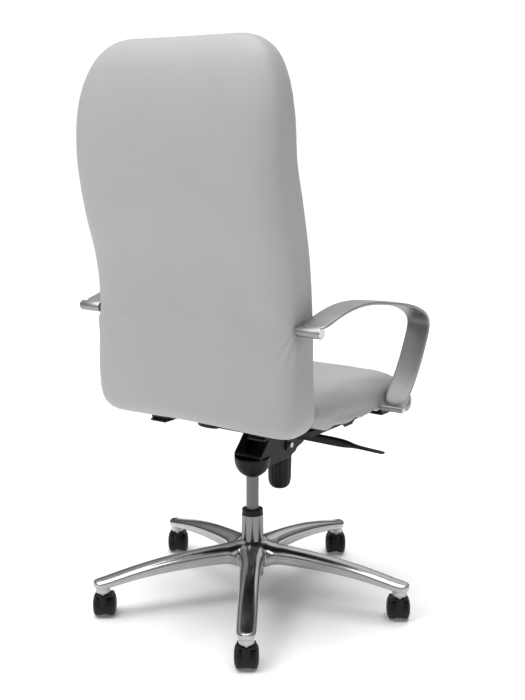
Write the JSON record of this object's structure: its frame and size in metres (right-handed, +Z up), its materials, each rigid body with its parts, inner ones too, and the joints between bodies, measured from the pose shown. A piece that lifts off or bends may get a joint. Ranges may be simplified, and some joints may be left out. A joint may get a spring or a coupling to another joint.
{
  "type": "swivel office chair",
  "caption": "High-backed swivel office chair with a polished star base on twin-wheel casters, gas lift, tilt mechanism and satin metal loop arms.",
  "frame": {"origin": "column axis at floor level, under the casters", "axes": "+Z up, the sitter faces -Y, the sitter's right is -X"},
  "size_m": [0.7066, 0.6917, 1.214],
  "materials": {
    "polished_base": "polished",
    "polished_tube": "polished",
    "cylinder_steel": "satin",
    "bright_steel": "zinc plated",
    "black_plastic": "fine moulded grain",
    "caster_plastic": "satin nylon",
    "black_enamel": "semi-gloss black powder coat",
    "plywood": "raw birch ply",
    "upholstery": "light grey synthetic leather",
    "satin_aluminium": "satin"
  },
  "bodies": {
    "base": {"star_base": "polished_base", "column_outer_tube": "polished_tube", "column_guide_bush": "black_plastic", "retaining_clip": "bright_steel"},
    "spindle": {"piston_rod": "bright_steel", "thrust_bearing": "bright_steel"},
    "mechanism": {"gas_cylinder": "cylinder_steel", "mechanism_housing": "black_enamel", "pivot_bushes": "black_plastic", "tension_bolt": "bright_steel", "tilt_spring": "bright_steel"},
    "release_pin": {"release_pin": "bright_steel"},
    "height_lever": {"height_lever": "black_plastic"},
    "tilt_lock_lever": {"tilt_lock_lever": "black_plastic"},
    "tension_knob": {"tension_knob": "black_plastic"},
    "seat": {"pivot_shaft": "bright_steel", "seat_plate": "black_enamel", "seat_plate_screws": "bright_steel", "seat_board": "plywood", "seat_cushion": "upholstery", "arm_brackets": "black_enamel", "arm_bolts": "bright_steel", "back_board": "plywood", "back_brackets": "black_enamel", "back_cushion": "upholstery", "right_arm": "satin_aluminium", "left_arm": "satin_aluminium", "right_arm_rear_rod": "satin_aluminium", "left_arm_rear_rod": "satin_aluminium", "arm_end_caps": "satin_aluminium"},
    "caster_rear_right": {"caster_rear_right_stem": "bright_steel", "caster_rear_right_hood": "caster_plastic", "caster_rear_right_axle": "bright_steel"},
    "caster_rear_right_wheel_left": {"caster_rear_right_wheel_left": "caster_plastic"},
    "caster_rear_right_wheel_right": {"caster_rear_right_wheel_right": "caster_plastic"},
    "caster_right": {"caster_right_stem": "bright_steel", "caster_right_hood": "caster_plastic", "caster_right_axle": "bright_steel"},
    "caster_right_wheel_left": {"caster_right_wheel_left": "caster_plastic"},
    "caster_right_wheel_right": {"caster_right_wheel_right": "caster_plastic"},
    "caster_front": {"caster_front_stem": "bright_steel", "caster_front_hood": "caster_plastic", "caster_front_axle": "bright_steel"},
    "caster_front_wheel_left": {"caster_front_wheel_left": "caster_plastic"},
    "caster_front_wheel_right": {"caster_front_wheel_right": "caster_plastic"},
    "caster_left": {"caster_left_stem": "bright_steel", "caster_left_hood": "caster_plastic", "caster_left_axle": "bright_steel"},
    "caster_left_wheel_left": {"caster_left_wheel_left": "caster_plastic"},
    "caster_left_wheel_right": {"caster_left_wheel_right": "caster_plastic"},
    "caster_rear_left": {"caster_rear_left_stem": "bright_steel", "caster_rear_left_hood": "caster_plastic", "caster_rear_left_axle": "bright_steel"},
    "caster_rear_left_wheel_left": {"caster_rear_left_wheel_left": "caster_plastic"},
    "caster_rear_left_wheel_right": {"caster_rear_left_wheel_right": "caster_plastic"}
  },
  "joints": [
    {"name": "column_swivel", "type": "hinge", "parent": "base", "child": "spindle", "pos_m": [0, 0, 0.1], "axis": [0, 0, 1], "continuous": true},
    {"name": "seat_height", "type": "slide", "parent": "spindle", "child": "mechanism", "axis": [0, 0, 1], "range_m": [-0.058, 0.04]},
    {"name": "recline", "type": "hinge", "parent": "mechanism", "child": "seat", "pos_m": [0, -0.092, 0.35], "axis": [-1, 0, 0], "range_deg": [0, 15], "stiffness_Nm_per_rad": 90, "springref_deg": -34.38},
    {"name": "height_lever_lift", "type": "hinge", "parent": "mechanism", "child": "height_lever", "pos_m": [-0.04, -0.05, 0.391], "axis": [0, 1, 0], "range_deg": [0, 5.5], "stiffness_Nm_per_rad": 3, "springref_deg": -20.05},
    {"name": "release_pin_press", "type": "slide", "parent": "mechanism", "child": "release_pin", "axis": [0, 0, -1], "range_m": [0, 0.004]},
    {"name": "tilt_lock_turn", "type": "hinge", "parent": "mechanism", "child": "tilt_lock_lever", "pos_m": [0.04, -0.05, 0.377], "axis": [0, -1, 0], "range_deg": [0, 10]},
    {"name": "tension_knob_turn", "type": "hinge", "parent": "mechanism", "child": "tension_knob", "pos_m": [0, -0.108, 0.28], "axis": [0, 0, 1], "range_deg": [-720, 720]},
    {"name": "caster_rear_right_swivel", "type": "hinge", "parent": "base", "child": "caster_rear_right", "pos_m": [-0.18557, 0.2825, 0.06], "axis": [0, 0, 1], "continuous": true},
    {"name": "caster_rear_right_wheel_left_roll", "type": "hinge", "parent": "caster_rear_right", "child": "caster_rear_right_wheel_left", "pos_m": [-0.17413, 0.2661, 0.025], "axis": [-0.8202, -0.5721, 0], "continuous": true},
    {"name": "caster_rear_right_wheel_right_roll", "type": "hinge", "parent": "caster_rear_right", "child": "caster_rear_right_wheel_right", "pos_m": [-0.17413, 0.2661, 0.025], "axis": [-0.8202, -0.5721, 0], "continuous": true},
    {"name": "caster_right_swivel", "type": "hinge", "parent": "base", "child": "caster_right", "pos_m": [-0.32602, -0.08919, 0.06], "axis": [0, 0, 1], "continuous": true},
    {"name": "caster_right_wheel_left_roll", "type": "hinge", "parent": "caster_right", "child": "caster_right_wheel_left", "pos_m": [-0.31458, -0.10559, 0.025], "axis": [-0.8202, -0.5721, 0], "continuous": true},
    {"name": "caster_right_wheel_right_roll", "type": "hinge", "parent": "caster_right", "child": "caster_right_wheel_right", "pos_m": [-0.31458, -0.10559, 0.025], "axis": [-0.8202, -0.5721, 0], "continuous": true},
    {"name": "caster_front_swivel", "type": "hinge", "parent": "base", "child": "caster_front", "pos_m": [-0.01592, -0.33763, 0.06], "axis": [0, 0, 1], "continuous": true},
    {"name": "caster_front_wheel_left_roll", "type": "hinge", "parent": "caster_front", "child": "caster_front_wheel_left", "pos_m": [-0.00448, -0.35403, 0.025], "axis": [-0.8202, -0.5721, 0], "continuous": true},
    {"name": "caster_front_wheel_right_roll", "type": "hinge", "parent": "caster_front", "child": "caster_front_wheel_right", "pos_m": [-0.00448, -0.35403, 0.025], "axis": [-0.8202, -0.5721, 0], "continuous": true},
    {"name": "caster_left_swivel", "type": "hinge", "parent": "base", "child": "caster_left", "pos_m": [0.31618, -0.11947, 0.06], "axis": [0, 0, 1], "continuous": true},
    {"name": "caster_left_wheel_left_roll", "type": "hinge", "parent": "caster_left", "child": "caster_left_wheel_left", "pos_m": [0.32762, -0.13588, 0.025], "axis": [-0.8202, -0.5721, 0], "continuous": true},
    {"name": "caster_left_wheel_right_roll", "type": "hinge", "parent": "caster_left", "child": "caster_left_wheel_right", "pos_m": [0.32762, -0.13588, 0.025], "axis": [-0.8202, -0.5721, 0], "continuous": true},
    {"name": "caster_rear_left_swivel", "type": "hinge", "parent": "base", "child": "caster_rear_left", "pos_m": [0.21133, 0.26378, 0.06], "axis": [0, 0, 1], "continuous": true},
    {"name": "caster_rear_left_wheel_left_roll", "type": "hinge", "parent": "caster_rear_left", "child": "caster_rear_left_wheel_left", "pos_m": [0.22278, 0.24738, 0.025], "axis": [-0.8202, -0.5721, 0], "continuous": true},
    {"name": "caster_rear_left_wheel_right_roll", "type": "hinge", "parent": "caster_rear_left", "child": "caster_rear_left_wheel_right", "pos_m": [0.22278, 0.24738, 0.025], "axis": [-0.8202, -0.5721, 0], "continuous": true}
  ],
  "couplings": [
    {"joint": "release_pin_press", "follows": "height_lever_lift", "m_per_rad": 0.039}
  ]
}
